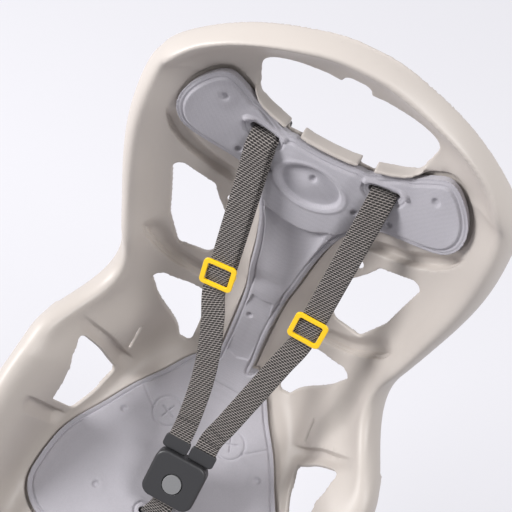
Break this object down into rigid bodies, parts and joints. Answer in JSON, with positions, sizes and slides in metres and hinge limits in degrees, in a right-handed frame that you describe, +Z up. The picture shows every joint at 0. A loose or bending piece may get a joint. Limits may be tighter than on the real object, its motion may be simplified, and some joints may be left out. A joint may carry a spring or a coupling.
{
  "type": "child bike seat",
  "caption": "Rear child bike seat: moulded bucket with head arch, windows and pad, three-point harness, leg guards with foot rests, bent-rod carrier and seat-tube clamp.",
  "frame": {"origin": "centre of the frame block's clamp bore on the seat tube's axis", "axes": "+Z up, -Y the way the child and the bike face, +X to the viewer's right in the picture; the clamp bore leans back 17 degrees with the seat tube"},
  "size_m": [0.412, 0.5328, 0.7845],
  "materials": {
    "shell_plastic": "warm beige-grey moulded plastic, satin",
    "pad_fabric": "fine grey knit over thermoformed foam",
    "webbing": "dark grey woven webbing with pale flecks",
    "yellow_plastic": "bright yellow moulded plastic",
    "black_plastic": "black moulded plastic",
    "grey_plastic": "mid-grey moulded plastic",
    "rod_paint": "black powder-coated steel rod",
    "zinc_steel": "zinc-plated steel"
  },
  "bodies": {
    "frame_block": {"rear_jaw": "black_plastic", "front_jaw": "black_plastic", "jaw_bolts": "zinc_steel"},
    "release": {"release_button": "grey_plastic"},
    "seat": {"bucket_shell": "shell_plastic", "seat_pad": "pad_fabric", "shoulder_strap_left": "webbing", "shoulder_strap_right": "webbing", "crotch_strap": "webbing", "strap_anchors": "black_plastic", "buckle_body": "black_plastic", "buckle_tongue_left": "black_plastic", "buckle_tongue_right": "black_plastic", "leg_guard_left": "shell_plastic", "leg_guard_right": "shell_plastic", "leg_guard_screws": "zinc_steel", "carrier_bow": "rod_paint", "carrier_cradle": "black_plastic", "carrier_clamp_plate": "black_plastic", "carrier_bolts": "zinc_steel", "carrier_nuts": "zinc_steel"},
    "buckle_button": {"buckle_button": "grey_plastic"},
    "adjuster_left": {"strap_adjuster_left": "yellow_plastic"},
    "adjuster_right": {"strap_adjuster_right": "yellow_plastic"},
    "footrest_left": {"footrest_left": "black_plastic", "foot_strap_left": "webbing"},
    "footrest_right": {"footrest_right": "black_plastic", "foot_strap_right": "webbing"},
    "footrest_button_left": {"footrest_button_left": "grey_plastic"},
    "footrest_button_right": {"footrest_button_right": "grey_plastic"}
  },
  "joints": [
    {"name": "carrier_slide", "type": "slide", "parent": "frame_block", "child": "seat", "axis": [0, 0.2924, 0.9563], "range_m": [0, 0.06]},
    {"name": "release_press", "type": "slide", "parent": "frame_block", "child": "release", "axis": [0, -0.9563, 0.2924], "range_m": [0, 0.005], "stiffness_N_per_m": 800},
    {"name": "buckle_press", "type": "slide", "parent": "seat", "child": "buckle_button", "axis": [0, 0.5878, -0.809], "range_m": [0, 0.003], "stiffness_N_per_m": 600},
    {"name": "adjuster_left_slide", "type": "slide", "parent": "seat", "child": "adjuster_left", "axis": [-0.0864, 0.4573, 0.8851], "range_m": [0, 0.04]},
    {"name": "footrest_left_slide", "type": "slide", "parent": "seat", "child": "footrest_left", "axis": [0, 0, 1], "range_m": [0, 0.11]},
    {"name": "footrest_left_lock", "type": "slide", "parent": "footrest_left", "child": "footrest_button_left", "axis": [0, -1, 0], "range_m": [0, 0.003], "stiffness_N_per_m": 500},
    {"name": "adjuster_right_slide", "type": "slide", "parent": "seat", "child": "adjuster_right", "axis": [0.0195, 0.501, 0.8652], "range_m": [0, 0.04]},
    {"name": "footrest_right_slide", "type": "slide", "parent": "seat", "child": "footrest_right", "axis": [0, 0, 1], "range_m": [0, 0.11]},
    {"name": "footrest_right_lock", "type": "slide", "parent": "footrest_right", "child": "footrest_button_right", "axis": [0, -1, 0], "range_m": [0, 0.003], "stiffness_N_per_m": 500}
  ]
}
